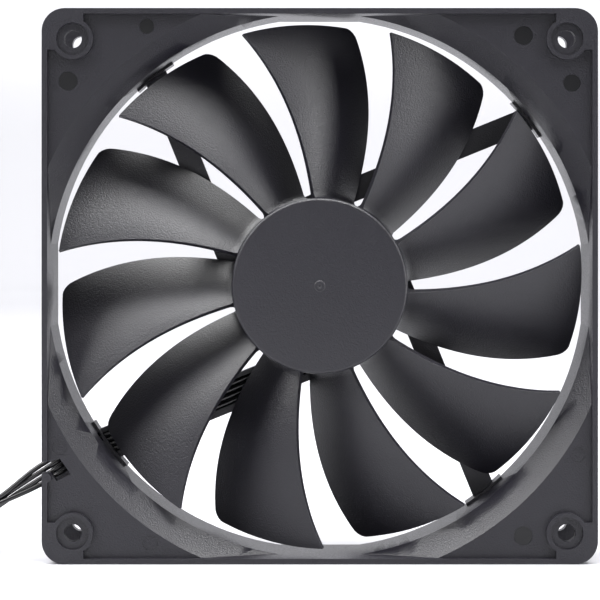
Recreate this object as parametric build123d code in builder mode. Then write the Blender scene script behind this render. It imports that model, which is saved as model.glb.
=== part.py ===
from build123d import *
import math
import os

os.makedirs("parts", exist_ok=True)

# A 140 mm case fan standing upright on its lower side. The intake face looks along -Y, the fan's axis
# runs along Y, and the depth of a feature is counted from the intake face towards +Y. All in millimetres.

# ---- driving dimensions ----

frame_side = 140
frame_depth = 25
frame_corner_radius = 5.8
flange_thickness = 4
rim_width = 1.4                # raised border round the intake face, and the wall at the four flats
pocket_depth = 1.5             # corner floors below that border
duct_inset = 0.6               # from the frame's sides to the duct; the flats cut into it
duct_wall = 1.6
funnel_spread = 5.4            # how much wider the intake cone is where it leaves the corner floors
funnel_depth = 8               # where the cone ends and the straight duct starts

hole_inset = 7.75              # from the frame's sides
screw_hole_radius = 2.25
screw_seat_radius = 4.1
screw_seat_depth = 1.0
boss_radius = 5.2
boss_reach = 10.5              # side of the raised square that joins a boss to its corner
ejector_mark_depth = 0.25
# round marks of the mould's ejector pins on the corner floors: which corner (right, up), how far
# from that corner's two sides, radius
ejector_marks = [
    (-1, 1, 6.5, 18.3, 2.4),
    (-1, 1, 26.4, 4.5, 1.9),
    (1, 1, 18.6, 6.8, 2.4),
    (1, 1, 6.4, 18.8, 2.2),
    (1, -1, 18.7, 7.0, 2.4),
    (1, -1, 4.9, 27.5, 1.9),
    (-1, -1, 27.3, 5.2, 2.0),
    (-1, -1, 4.4, 29.2, 1.9),
]

# the wires' window in the lower left corner floor: in from the side, above the wires' way out
window_corners = [(1.9, 3.3), (4.4, 4.1), (7.2, 0.1), (3.6, -1.6), (2.1, 0.4)]
slot_rise = 3.4                # top of the slot from the window to the outside, above the way out
slot_width = 2.9
hook_radius = 1.2

hub_radius = 22.2
hub_wall = 1.3
hub_face_depth = 0.9           # set back from the intake face
hub_face_thickness = 1.7
hub_gap = 0.6                  # between the turning hub and the motor base
hub_edge_radius = 0.8
gate_mark_radius = 1.4
gate_mark_height = 0.15
gate_dimple_radius = 0.5
insert_boss_radius = 4.5

blade_count = 11
blade_tip_clearance = 2.8
blade_thickness = 1.5
blade_strut_gap = 1.6
blade_lead_depth = 4.6         # leading edge from mid span outwards
blade_lead_drop = 2.8          # how much deeper the leading edge starts at the hub
blade_lead_drop_span = 24
blade_flatness = 0.55          # 1 is a straight section, less puts the turn towards the trailing edge
blade_lead_angle = 29.1        # angles at the hub, then their growth per mm and per mm squared outwards
blade_lead_sweep = 0.171
blade_lead_curl = 0.00254
blade_trail_angle = 2.8
blade_trail_sweep = 0.174
blade_trail_curl = 0.00346
blade_root_overlap = 0.6       # how far a blade's root is sunk in the hub's wall
blade_stations = 6             # sections of the loft, and points along each section's side
blade_side_points = 6
blade_loft_start = 0.8         # times the hub's radius
blade_loft_overrun = 2         # past the tips, before they are cut round

base_overhang = 0.2            # the motor base is this much wider than the hub
base_wall = 1.2
base_rim_height = 4.2          # above the exhaust face, as are the other heights at this end
base_floor_height = 1.6
base_floor_thickness = 1.2
label_border = 1.8
label_clearance = 0.2
label_thickness = 0.15

strut_height = 3.2
strut_angle = 22.1
strut_width = 6.1
cable_strut_width = 8.8
strut_pad_overhang = 2.5
strut_pad_proud = 0.75
strut_pad_height = 6

shaft_radius = 1.5
shaft_front_depth = 1.8
shaft_end_height = 2.2
clip_groove_height = 0.8       # from the shaft's end
clip_groove_cut = 0.3
clip_thickness = 0.4
clip_width = 1.3
insert_radius = 3.0
insert_length = 4.1
bearing_clearance = 0.03
washer_clearance = 0.06
thrust_clearance = 0.1

tube_bore_radius = 3.0
tube_wall = 1.0
tube_gap = 0.6                 # between the turning insert and the bearing tube
tube_end_inset = 0.2
bearing_front_inset = 1.1
bearing_end_inset = 1.2        # from the shaft's end
washer_front_inset = 0.4
washer_thickness = 0.5
thrust_pad_radius = 2.6
thrust_pad_thickness = 0.5

yoke_thickness = 1.0
yoke_end_inset = 0.8           # from the hub's end
magnet_thickness = 2.0
magnet_length = 11.5
magnet_end_inset = 0.9         # from the yoke's end

pole_count = 4
pole_gap = 0.6                 # between the pole shoes and the magnet
pole_shoe_thickness = 2.7
pole_shoe_half_angle = 37
core_length = 6.0
core_end_inset = 3.0           # from the magnet's end
core_ring_radius = 7.0
core_arm_width = 4.0
insulator_thickness = 0.8
insulator_side = 0.4
insulator_lip_height = 1.8
insulator_lip_thickness = 0.6
winding_inner_radius = 9.2
winding_thickness = 1.9
winding_corner = 1.52
pin_radius = 0.35
pin_circle_radius = 7.6
pin_seat_radius = 1.0

board_thickness = 1.0
board_standoff = 0.5
board_rim_clearance = 0.4
board_boss_clearance = 0.4
boss_wall = 1.8
board_post_radius = 1.1
board_post_inset = 4.4         # from the motor base's outside
# parts on the board: in from its edge, angle, length across the radius, width, height
board_parts = {
    "hall_sensor": (2.4, 80, 3.0, 1.6, 1.3),
    "driver_ic": (7.8, 120, 5.0, 4.0, 1.2),
    "capacitor": (7.3, 12, 3.4, 2.8, 1.9),
    "diode": (6.8, 40, 2.6, 1.5, 1.0),
}
resistor_count = 5
resistor_step = 16             # degrees
first_resistor = (6.3, 160, 1.6, 0.8, 0.5)

wire_radius = 0.65
wire_gap = 0.1
wire_count = 4
channel_inset = 4.7            # from the motor base's outside to the middle of the cable channel
channel_clearance = 0.2
channel_cover = 0.05           # how far the wires lie below the strut's front
channel_mouth = 0.5            # the cut's reach in front of the base's rim
notch_depth = 6                # the cut through the duct, wider than the channel because the wires turn
notch_length = 9.4
notch_inset = 2
notch_clearance = 0.6
exit_clearance = 0.15          # between the front flange and the wires behind it
exit_height = 22.4             # middle of the wires above the floor where they leave the frame
exit_slope = 32.2              # degrees below level
exit_run = 6                   # straight before the way out
lead_start = 2                 # along the cable strut from the fan's axis
lead_edge_overrun = 0.3        # past the board's edge before a wire turns down into the channel
lead_dive = 3.5
lead_bends = [4, 4, 5, 4]

bundle_packing = 2.3846        # four wires lie in a circle of this many wires' widths
coil_radius = 19.15            # middle of the turns, which lie on each other
coil_turns = 3
tie_width = 2.5
tie_thickness = 0.6            # the coil rests on it
tie_head_width = 3.6
tie_head_reach = 2.4
tie_head_height = 3.0
tie_angle = 145                # where it holds the coil, seen from above
tail_radius = 10.95            # the bend from the lowest turn in to the plug
tail_step = 17                 # degrees between the tail's points
tail_heights = [2.15, 2.15, 2.15, 2.2, 2.3, 2.45, 2.6, 2.8, 2.95, 3.1, 3.1]
arc_share = 0.45               # of the shorter run, that a cord's arc takes up

plug_length = 11.5
plug_width = 10.4
plug_thickness = 4.4
plug_rib_height = 1.2
plug_rib_width = 1.0
plug_pitch = 2.54
plug_cavity = 1.9
plug_cavity_length = 9
plug_entry_radius = 0.85
plug_splay = 3.9               # length over which the wires spread to the plug's pitch
plug_wire_seat = 1.5           # how far the wires reach into the plug
splay_bend = 1.5               # times the wire's radius
terminal_side = 1.5
terminal_length = 6
terminal_setback = 1

# ---- places worked out from the driving dimensions ----

half_side = frame_side / 2
front_y = -frame_depth / 2
inner_side = frame_side - 2 * rim_width
duct_radius = half_side - duct_inset
funnel_radius = duct_radius + funnel_spread
hole_spacing = frame_side - 2 * hole_inset
corner_square_spacing = frame_side - boss_reach

base_radius = hub_radius + base_overhang
base_rim_depth = frame_depth - base_rim_height
base_floor_depth = frame_depth - base_floor_height
base_end_depth = base_floor_depth + base_floor_thickness
label_recess_radius = base_radius - label_border
board_post_circle = base_radius - board_post_inset
strut_depth = frame_depth - strut_height
strut_pad_depth = frame_depth - strut_pad_height
cable_strut_angle = strut_angle + 180

hub_end_depth = base_rim_depth - hub_gap
hub_inner_depth = hub_face_depth + hub_face_thickness
blade_tip_radius = duct_radius - blade_tip_clearance
blade_end_depth = strut_depth - blade_strut_gap

shaft_end_depth = frame_depth - shaft_end_height
clip_groove_depth = shaft_end_depth - clip_groove_height
clip_groove_radius = shaft_radius - clip_groove_cut
clip_radius = clip_groove_radius + clip_width
insert_end_depth = shaft_front_depth + insert_length
tube_radius = tube_bore_radius + tube_wall
tube_front_depth = insert_end_depth + tube_gap
tube_end_depth = base_end_depth - tube_end_inset
washer_front_depth = tube_front_depth + washer_front_inset
bearing_front_depth = tube_front_depth + bearing_front_inset
bearing_end_depth = shaft_end_depth - bearing_end_inset
base_boss_radius = tube_radius + boss_wall

yoke_radius = hub_radius - hub_wall
yoke_end_depth = hub_end_depth - yoke_end_inset
magnet_radius = yoke_radius - yoke_thickness
magnet_end_depth = yoke_end_depth - magnet_end_inset
magnet_front_depth = magnet_end_depth - magnet_length
pole_radius = magnet_radius - magnet_thickness - pole_gap
shoe_inner_radius = pole_radius - pole_shoe_thickness
lip_inner_radius = shoe_inner_radius - insulator_lip_thickness
core_end_depth = magnet_end_depth - core_end_inset
core_front_depth = core_end_depth - core_length

board_end_depth = base_floor_depth - board_standoff
board_front_depth = board_end_depth - board_thickness
board_radius = base_radius - base_wall - board_rim_clearance
wire_pitch = 2 * wire_radius + wire_gap
channel_centre = base_radius - channel_inset
channel_width = wire_pitch * (wire_count - 1) + 2 * wire_radius + 2 * channel_clearance
channel_wire_depth = strut_depth + wire_radius + channel_cover
channel_floor_depth = channel_wire_depth + wire_radius
bundle_diameter = 2 * wire_radius * bundle_packing
exit_wire_depth = flange_thickness + bundle_diameter / 2 + exit_clearance
exit_rise = exit_height - half_side
spin_axis = Axis((0, 0, half_side), (0, -1, 0))


def at_depth(depth):
    # parallel to the intake face: local x to the right and local y up, seen from the front
    return Plane(origin=(0, front_y + depth, half_side), x_dir=(1, 0, 0), z_dir=(0, -1, 0))


def along_strut(depth, angle):
    # the same plane with its local x turned along a strut
    turn = math.radians(angle)
    outwards = (math.cos(turn), 0, math.sin(turn))
    return Plane(origin=(0, front_y + depth, half_side), x_dir=outwards, z_dir=(0, -1, 0))


def radial_plane():
    # through the fan's axis: local x is a radius and local y is a depth
    return Plane(origin=(0, front_y, half_side), x_dir=(1, 0, 0), z_dir=(0, 0, 1))


def ring(outer, inner, front, end):
    # a plain ring round the fan's axis, made outside any builder
    with BuildPart() as made:
        with BuildSketch(at_depth(end)):
            Circle(outer)
            Circle(inner, mode=Mode.SUBTRACT)
        extrude(amount=end - front)
    return made.part


def save(piece, name):
    piece.label = name
    export_step(piece, f"parts/{name}.step")


# ---- frame: flanges, duct, motor base, struts and the cable's way out ----

with BuildPart() as air_space:
    with BuildSketch(radial_plane()):
        with BuildLine():
            Polyline(
                (0, -1),
                (funnel_radius, -1),
                (funnel_radius, pocket_depth),
                (duct_radius, funnel_depth),
                (duct_radius, frame_depth + 1),
                (0, frame_depth + 1),
                close=True,
            )
        make_face()
    revolve(axis=spin_axis)
    with BuildSketch(at_depth(frame_depth + 1)):
        Rectangle(inner_side, inner_side)
    extrude(amount=frame_depth + 2, mode=Mode.INTERSECT)

with BuildPart() as frame:
    with BuildSketch(radial_plane()):
        with BuildLine():
            Polyline(
                (0, 0),
                (funnel_radius + duct_wall, 0),
                (funnel_radius + duct_wall, pocket_depth),
                (duct_radius + duct_wall, funnel_depth),
                (duct_radius + duct_wall, frame_depth),
                (0, frame_depth),
                close=True,
            )
        make_face()
    revolve(axis=spin_axis)
    with BuildSketch(at_depth(frame_depth)):
        RectangleRounded(frame_side, frame_side, frame_corner_radius)
    extrude(amount=frame_depth, mode=Mode.INTERSECT)
    for flange_end in (flange_thickness, frame_depth):
        with BuildSketch(at_depth(flange_end)):
            RectangleRounded(frame_side, frame_side, frame_corner_radius)
        extrude(amount=flange_thickness)
    add(air_space.part, mode=Mode.SUBTRACT)
    # corner floors
    with BuildSketch(at_depth(pocket_depth)):
        RectangleRounded(inner_side, inner_side, frame_corner_radius - rim_width)
        with GridLocations(hole_spacing, hole_spacing, 2, 2):
            Circle(boss_radius, mode=Mode.SUBTRACT)
        with GridLocations(corner_square_spacing, corner_square_spacing, 2, 2):
            Rectangle(boss_reach, boss_reach, mode=Mode.SUBTRACT)
    extrude(amount=pocket_depth, mode=Mode.SUBTRACT)
    for right, up, side_inset, end_inset, mark_radius in ejector_marks:
        with BuildSketch(at_depth(pocket_depth + ejector_mark_depth)):
            with Locations((right * (half_side - side_inset), up * (half_side - end_inset))):
                Circle(mark_radius)
        extrude(amount=ejector_mark_depth, mode=Mode.SUBTRACT)
    # screw holes through both flanges, with a seat at each face
    with BuildSketch(at_depth(frame_depth)):
        with GridLocations(hole_spacing, hole_spacing, 2, 2):
            Circle(screw_hole_radius)
    extrude(amount=frame_depth, mode=Mode.SUBTRACT)
    for seat_end in (screw_seat_depth, frame_depth):
        with BuildSketch(at_depth(seat_end)):
            with GridLocations(hole_spacing, hole_spacing, 2, 2):
                Circle(screw_seat_radius)
        extrude(amount=screw_seat_depth, mode=Mode.SUBTRACT)
    # struts with the pads that join them to the duct
    for turn in range(4):
        angle = strut_angle + 90 * turn
        width = cable_strut_width if angle == cable_strut_angle else strut_width
        strut_middle = base_radius - width / 2
        with BuildSketch(along_strut(frame_depth, angle)):
            with Locations((duct_radius / 2, strut_middle)):
                Rectangle(duct_radius, width)
            Circle(duct_radius + duct_wall / 2, mode=Mode.INTERSECT)
            Circle(base_radius - base_wall / 2, mode=Mode.SUBTRACT)
        extrude(amount=frame_depth - strut_depth)
        with BuildSketch(along_strut(frame_depth, angle)):
            with Locations((duct_radius * 3 / 4, strut_middle)):
                Rectangle(duct_radius / 2, width + 2 * strut_pad_overhang)
            Circle(duct_radius + duct_wall / 2, mode=Mode.INTERSECT)
            Circle(duct_radius - strut_pad_proud, mode=Mode.SUBTRACT)
        extrude(amount=frame_depth - strut_pad_depth)
    # motor base: a shallow cup with a central boss for the bearing tube
    with BuildSketch(at_depth(frame_depth)):
        Circle(base_radius)
    extrude(amount=frame_depth - base_rim_depth)
    with BuildSketch(at_depth(base_floor_depth)):
        Circle(base_radius - base_wall)
    extrude(amount=base_floor_depth - base_rim_depth, mode=Mode.SUBTRACT)
    with BuildSketch(at_depth(base_end_depth)):
        Circle(base_boss_radius)
    extrude(amount=base_end_depth - base_rim_depth)
    with BuildSketch(at_depth(base_floor_depth)):
        with PolarLocations(board_post_circle, 4, 45):
            Circle(board_post_radius)
    extrude(amount=base_floor_depth - board_end_depth)
    with BuildSketch(at_depth(frame_depth)):
        Circle(label_recess_radius)
    extrude(amount=frame_depth - base_end_depth, mode=Mode.SUBTRACT)
    with BuildSketch(at_depth(frame_depth)):
        Circle(tube_radius)
    extrude(amount=frame_depth, mode=Mode.SUBTRACT)
    # cable channel along its strut, and its notch in the base's rim and in the duct
    with BuildSketch(along_strut(channel_floor_depth, cable_strut_angle)):
        with Locations((duct_radius / 2 + base_wall, channel_centre)):
            Rectangle(duct_radius, channel_width)
        Circle(board_post_circle, mode=Mode.SUBTRACT)
    extrude(amount=channel_floor_depth - base_rim_depth + channel_mouth, mode=Mode.SUBTRACT)
    with BuildSketch(along_strut(channel_floor_depth, cable_strut_angle)):
        with Locations((duct_radius - notch_inset + notch_length / 2, channel_centre)):
            Rectangle(notch_length, channel_width + 2 * notch_clearance)
    extrude(amount=notch_depth, mode=Mode.SUBTRACT)
    # way out at the lower left side
    slot_top = exit_rise + slot_rise
    with BuildSketch(at_depth(flange_thickness)):
        with BuildLine():
            Polyline(*[(inwards - half_side, exit_rise + up) for inwards, up in window_corners], close=True)
        make_face()
        with Locations((-half_side + rim_width, slot_top - slot_width / 2)):
            Rectangle(3 * rim_width, slot_width)
    extrude(amount=flange_thickness, mode=Mode.SUBTRACT)
    with BuildSketch(at_depth(flange_thickness)):
        with Locations((-half_side + hook_radius, slot_top - slot_width - hook_radius)):
            Circle(hook_radius)
    extrude(amount=flange_thickness)
save(frame.part, "frame")

# ---- impeller: hub cup and blades in one moulding ----


def lead_angle(radius):
    out = radius - hub_radius
    return blade_lead_angle + blade_lead_sweep * out + blade_lead_curl * out * out


def trail_angle(radius):
    out = radius - hub_radius
    return blade_trail_angle + blade_trail_sweep * out + blade_trail_curl * out * out


def lead_depth(radius):
    inwards = max(0, 1 - (radius - hub_radius) / blade_lead_drop_span)
    return blade_lead_depth + blade_lead_drop * inwards * inwards


blade_middle_angle = (lead_angle(blade_tip_radius) + trail_angle(hub_radius)) / 2


def edge_point(distance, angle_at):
    # sideways place and radius of an edge where a plane at this distance from the axis cuts it
    radius = distance
    for _ in range(6):
        turn = math.radians(angle_at(radius) - blade_middle_angle)
        radius = distance / math.cos(turn)
    return distance * math.tan(turn), radius


def blade_plane(distance):
    middle = math.radians(blade_middle_angle)
    outwards = Vector(math.cos(middle), 0, math.sin(middle))
    sideways = Vector(-math.sin(middle), 0, math.cos(middle))
    return Plane(origin=Vector(0, front_y, half_side) + outwards * distance, x_dir=sideways, z_dir=outwards)


def blade_side(distance, side):
    # points along one side of the blade's section, from the leading edge to the trailing edge
    lead, lead_radius = edge_point(distance, lead_angle)
    trail, _ = edge_point(distance, trail_angle)
    start = lead_depth(lead_radius)
    drop = blade_end_depth - start
    points = []
    for step in range(blade_side_points):
        share = step / (blade_side_points - 1)
        depth = start + drop * (blade_flatness * share + (1 - blade_flatness) * share * share)
        run = Vector(trail - lead, -drop * (blade_flatness + 2 * (1 - blade_flatness) * share))
        across = Vector(-run.Y, run.X).normalized() * (side * blade_thickness / 2)
        points.append(Vector(lead + (trail - lead) * share, -depth) + across)
    return points


with BuildPart() as blade:
    nearest = hub_radius * blade_loft_start
    furthest = blade_tip_radius + blade_loft_overrun
    for station in range(blade_stations):
        distance = nearest + (furthest - nearest) * station / (blade_stations - 1)
        with BuildSketch(blade_plane(distance)):
            with BuildLine():
                upper = Spline(*blade_side(distance, 1))
                lower = Spline(*blade_side(distance, -1))
                Line(upper @ 0, lower @ 0)
                Line(upper @ 1, lower @ 1)
            make_face()
    loft()
    with BuildSketch(at_depth(frame_depth)):
        Circle(blade_tip_radius)
        Circle(hub_radius - blade_root_overlap, mode=Mode.SUBTRACT)
    extrude(amount=frame_depth, mode=Mode.INTERSECT)

with BuildPart() as impeller:
    with BuildSketch(at_depth(hub_end_depth)):
        Circle(hub_radius)
    extrude(amount=hub_end_depth - hub_face_depth)
    fillet(impeller.faces().sort_by(Axis.Y)[0].edges(), hub_edge_radius)
    with BuildSketch(at_depth(hub_end_depth)):
        Circle(yoke_radius)
    extrude(amount=hub_end_depth - hub_inner_depth, mode=Mode.SUBTRACT)
    with BuildSketch(at_depth(insert_end_depth)):
        Circle(insert_boss_radius)
    extrude(amount=insert_end_depth - hub_inner_depth)
    with BuildSketch(at_depth(insert_end_depth)):
        Circle(insert_radius)
    extrude(amount=insert_end_depth - shaft_front_depth, mode=Mode.SUBTRACT)
    with BuildSketch(at_depth(hub_face_depth)):
        Circle(gate_mark_radius)
        Circle(gate_dimple_radius, mode=Mode.SUBTRACT)
    extrude(amount=gate_mark_height)
    for turn in range(blade_count):
        add(blade.part.rotate(spin_axis, turn * 360 / blade_count))
save(impeller.part, "impeller")

# ---- rotor: steel yoke, ring magnet, shaft with its insert and clip ----

with BuildPart() as rotor_yoke:
    with BuildSketch(at_depth(yoke_end_depth)):
        Circle(yoke_radius)
    extrude(amount=yoke_end_depth - hub_inner_depth)
    with BuildSketch(at_depth(yoke_end_depth)):
        Circle(magnet_radius)
    extrude(amount=yoke_end_depth - hub_inner_depth - yoke_thickness, mode=Mode.SUBTRACT)
    with BuildSketch(at_depth(yoke_end_depth)):
        Circle(insert_boss_radius)
    extrude(amount=yoke_end_depth, mode=Mode.SUBTRACT)
save(rotor_yoke.part, "rotor_yoke")

ring_magnet = ring(magnet_radius, magnet_radius - magnet_thickness, magnet_front_depth, magnet_end_depth)
save(ring_magnet, "ring_magnet")

with BuildPart() as shaft:
    with BuildSketch(at_depth(shaft_end_depth)):
        Circle(shaft_radius)
    extrude(amount=shaft_end_depth - shaft_front_depth)
    with BuildSketch(at_depth(clip_groove_depth + clip_thickness)):
        Circle(shaft_radius)
        Circle(clip_groove_radius, mode=Mode.SUBTRACT)
    extrude(amount=clip_thickness, mode=Mode.SUBTRACT)
save(shaft.part, "shaft")

shaft_insert = ring(insert_radius, shaft_radius, shaft_front_depth, insert_end_depth)
save(shaft_insert, "shaft_insert")

with BuildPart() as retaining_clip:
    with BuildSketch(at_depth(clip_groove_depth + clip_thickness)):
        Circle(clip_radius)
        Circle(clip_groove_radius, mode=Mode.SUBTRACT)
        with Locations((clip_radius / 2 + clip_groove_radius / 2, 0)):
            Rectangle(clip_radius, clip_groove_radius, mode=Mode.SUBTRACT)
    extrude(amount=clip_thickness)
save(retaining_clip.part, "retaining_clip")

# ---- bearing: tube, oil washer, sleeve, thrust pad and cap ----

bearing_tube = ring(tube_radius, tube_bore_radius, tube_front_depth, tube_end_depth)
save(bearing_tube, "bearing_tube")

washer_end_depth = washer_front_depth + washer_thickness
oil_washer = ring(tube_bore_radius, shaft_radius + washer_clearance, washer_front_depth, washer_end_depth)
save(oil_washer, "oil_washer")

sleeve_bore = shaft_radius + bearing_clearance
sleeve_bearing = ring(tube_bore_radius, sleeve_bore, bearing_front_depth, bearing_end_depth)
save(sleeve_bearing, "sleeve_bearing")

pad_front_depth = shaft_end_depth + thrust_clearance
pad_end_depth = pad_front_depth + thrust_pad_thickness

with BuildPart() as thrust_pad:
    with BuildSketch(at_depth(pad_end_depth)):
        Circle(thrust_pad_radius)
    extrude(amount=thrust_pad_thickness)
save(thrust_pad.part, "thrust_pad")

with BuildPart() as rear_cap:
    with BuildSketch(at_depth(tube_end_depth)):
        Circle(tube_bore_radius)
    extrude(amount=tube_end_depth - pad_end_depth)
save(rear_cap.part, "rear_cap")

with BuildPart() as rear_label:
    with BuildSketch(at_depth(base_end_depth + label_thickness)):
        Circle(label_recess_radius - label_clearance)
    extrude(amount=label_thickness)
save(rear_label.part, "rear_label")

# ---- stator: laminated core, two insulators, four windings and their pins ----


def core_outline(ring_radius, arm_reach, arm_width):
    # the ring round the bearing tube and its four arms, drawn in the current sketch
    Circle(ring_radius)
    for turn in range(pole_count // 2):
        Rectangle(2 * arm_reach, arm_width, rotation=90 * turn)


with BuildPart() as stator_core:
    with BuildSketch(at_depth(core_end_depth)):
        Circle(pole_radius)
        Circle(shoe_inner_radius, mode=Mode.SUBTRACT)
        for turn in range(pole_count):
            slot_angle = 45 + 90 * turn
            with Locations(Location((0, 0, 0), (0, 0, slot_angle))):
                with Locations((pole_radius, 0)):
                    slot_width_at_rim = 2 * pole_radius * math.sin(math.radians(45 - pole_shoe_half_angle))
                    Rectangle(3 * pole_shoe_thickness, slot_width_at_rim, mode=Mode.SUBTRACT)
        Circle(core_ring_radius)
        for turn in range(pole_count // 2):
            Rectangle(2 * shoe_inner_radius + pole_shoe_thickness, core_arm_width, rotation=90 * turn)
        Circle(tube_radius, mode=Mode.SUBTRACT)
    extrude(amount=core_end_depth - core_front_depth)
save(stator_core.part, "stator_core")

core_middle_depth = (core_front_depth + core_end_depth) / 2
arm_cover_width = core_arm_width + 2 * insulator_side


def insulator(plate_front, plate_end, lip_front, lip_end, skirt_front, skirt_end):
    # a plate over the core with a lip that keeps the windings in and skirts down the arms' sides
    with BuildPart() as made:
        with BuildSketch(at_depth(plate_end)):
            core_outline(core_ring_radius, shoe_inner_radius, arm_cover_width)
            with PolarLocations(pin_circle_radius, pole_count, 45):
                Circle(pin_seat_radius)
            Circle(tube_radius, mode=Mode.SUBTRACT)
        extrude(amount=plate_end - plate_front)
        with BuildSketch(at_depth(lip_end)):
            Circle(shoe_inner_radius)
            Circle(lip_inner_radius, mode=Mode.SUBTRACT)
            for turn in range(pole_count):
                with Locations(Location((0, 0, 0), (0, 0, 45 + 90 * turn))):
                    with Locations((shoe_inner_radius, 0)):
                        Rectangle(shoe_inner_radius / 2, shoe_inner_radius / 2, mode=Mode.SUBTRACT)
        extrude(amount=lip_end - lip_front)
        with BuildSketch(at_depth(skirt_end)):
            core_outline(tube_radius, lip_inner_radius, arm_cover_width)
            Circle(core_ring_radius, mode=Mode.SUBTRACT)
            for turn in range(pole_count // 2):
                Rectangle(2 * shoe_inner_radius, core_arm_width, rotation=90 * turn, mode=Mode.SUBTRACT)
        extrude(amount=skirt_end - skirt_front)
    return made.part


front_plate_depth = core_front_depth - insulator_thickness
upper_insulator = insulator(
    front_plate_depth,
    core_front_depth,
    front_plate_depth - insulator_lip_height,
    core_front_depth,
    core_front_depth,
    core_middle_depth,
)
save(upper_insulator, "upper_insulator")

end_plate_depth = core_end_depth + insulator_thickness
lower_insulator = insulator(
    core_end_depth,
    end_plate_depth,
    core_end_depth,
    end_plate_depth + insulator_lip_height,
    core_middle_depth,
    core_end_depth,
)
with BuildPart() as lower_insulator_drilled:
    add(lower_insulator)
    with BuildSketch(at_depth(end_plate_depth)):
        with PolarLocations(pin_circle_radius, pole_count, 45):
            Circle(pin_radius)
    extrude(amount=insulator_thickness, mode=Mode.SUBTRACT)
save(lower_insulator_drilled.part, "lower_insulator")

winding_height = end_plate_depth - front_plate_depth
winding_outer_height = winding_height + 2 * winding_thickness
winding_outer_width = arm_cover_width + 2 * winding_thickness
winding_outer_radius = math.sqrt(lip_inner_radius**2 - (winding_outer_width / 2) ** 2)
winding_length = winding_outer_radius - winding_inner_radius

for turn in range(pole_count):
    outwards = Vector(math.cos(math.radians(90 * turn)), 0, math.sin(math.radians(90 * turn)))
    middle = Vector(0, front_y + core_middle_depth, half_side) + outwards * winding_inner_radius
    with BuildPart() as winding:
        with BuildSketch(Plane(origin=middle, x_dir=(0, 1, 0), z_dir=outwards)):
            RectangleRounded(winding_outer_height, winding_outer_width, winding_corner)
            Rectangle(winding_height, arm_cover_width, mode=Mode.SUBTRACT)
        extrude(amount=winding_length)
    save(winding.part, f"winding_{turn + 1}")

with BuildPart() as stator_pins:
    with BuildSketch(at_depth(board_end_depth)):
        with PolarLocations(pin_circle_radius, pole_count, 45):
            Circle(pin_radius)
    extrude(amount=board_end_depth - core_end_depth)
save(stator_pins.part, "stator_pins")

# ---- circuit board and what is soldered to it ----

with BuildPart() as circuit_board:
    with BuildSketch(at_depth(board_end_depth)):
        Circle(board_radius)
        Circle(base_boss_radius + board_boss_clearance, mode=Mode.SUBTRACT)
        with PolarLocations(pin_circle_radius, pole_count, 45):
            Circle(pin_radius, mode=Mode.SUBTRACT)
    extrude(amount=board_thickness)
save(circuit_board.part, "circuit_board")


def on_board(edge_inset, angle, length, width, height):
    # a block on the board's front face, its length across the radius
    with BuildPart() as made:
        with BuildSketch(along_strut(board_front_depth, angle)):
            with Locations((board_radius - edge_inset, 0)):
                Rectangle(width, length)
        extrude(amount=height)
    return made.part


for name, sizes in board_parts.items():
    save(on_board(*sizes), name)

edge_inset, first_angle, *block = first_resistor
resistor_angles = [first_angle + resistor_step * step for step in range(resistor_count)]
chip_resistors = Compound(children=[on_board(edge_inset, angle, *block) for angle in resistor_angles])
save(chip_resistors, "chip_resistors")

# ---- leads: four wires from the board, along the channel and out of the side ----

slope = math.radians(exit_slope)
exit_direction = Vector(-math.cos(slope), 0, -math.sin(slope))
exit_across = Vector(math.sin(slope), 0, -math.cos(slope))
strut_turn = math.radians(cable_strut_angle)
strut_direction = Vector(math.cos(strut_turn), 0, math.sin(strut_turn))
strut_across = Vector(-math.sin(strut_turn), 0, math.cos(strut_turn))
exit_point = Vector(-half_side, front_y + exit_wire_depth, exit_height)
pad_depth = board_front_depth - wire_radius


def on_channel(along, depth):
    middle = Vector(0, front_y + depth, half_side)
    return middle + strut_direction * along + strut_across * channel_centre


def lead_corners(sideways):
    # one wire: flat on the board to its edge, down into the channel, through the duct and out
    near_side = channel_centre + sideways - wire_radius
    board_edge = math.sqrt(board_radius**2 - near_side**2)
    dive_start = board_edge + lead_edge_overrun
    in_channel = [
        on_channel(lead_start, pad_depth),
        on_channel(dive_start, pad_depth),
        on_channel(dive_start + lead_dive, channel_wire_depth),
        on_channel(duct_radius + duct_wall, channel_wire_depth),
    ]
    way_out = [exit_point - exit_direction * exit_run, exit_point + exit_direction * channel_width]
    corners = [point + strut_across * sideways for point in in_channel]
    corners += [point + exit_across * sideways for point in way_out]
    return corners


def wire_along(corners, radii):
    with BuildPart() as made:
        with BuildLine() as path:
            FilletPolyline(*corners, radius=radii)
        with BuildSketch(Plane(origin=corners[0], z_dir=path.wires()[0] % 0)):
            Circle(wire_radius)
        sweep(path=path.wires()[0])
    return made.part


leads = []
for wire in range(wire_count):
    sideways = (wire - (wire_count - 1) / 2) * wire_pitch
    whole_wire = wire_along(lead_corners(sideways), lead_bends)
    # cut off flush with the frame's side, where the free lead starts
    with BuildPart() as lead:
        add(whole_wire)
        split(bisect_by=Plane.YZ.offset(-half_side), keep=Keep.TOP)
    leads.append(lead.part)
save(Compound(children=leads), "leads")

# ---- free lead: the four wires as one bundle, down to the floor beside the frame and into a coil ----


def largest_radii(points):
    # the largest arc that two runs leave room for, at each point between them
    radii = []
    for before, here, after in zip(points, points[1:], points[2:]):
        half_turn = math.radians((here - before).get_angle(after - here) / 2)
        shorter = min((here - before).length, (after - here).length)
        radii.append(arc_share * shorter / math.tan(half_turn))
    return radii


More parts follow.
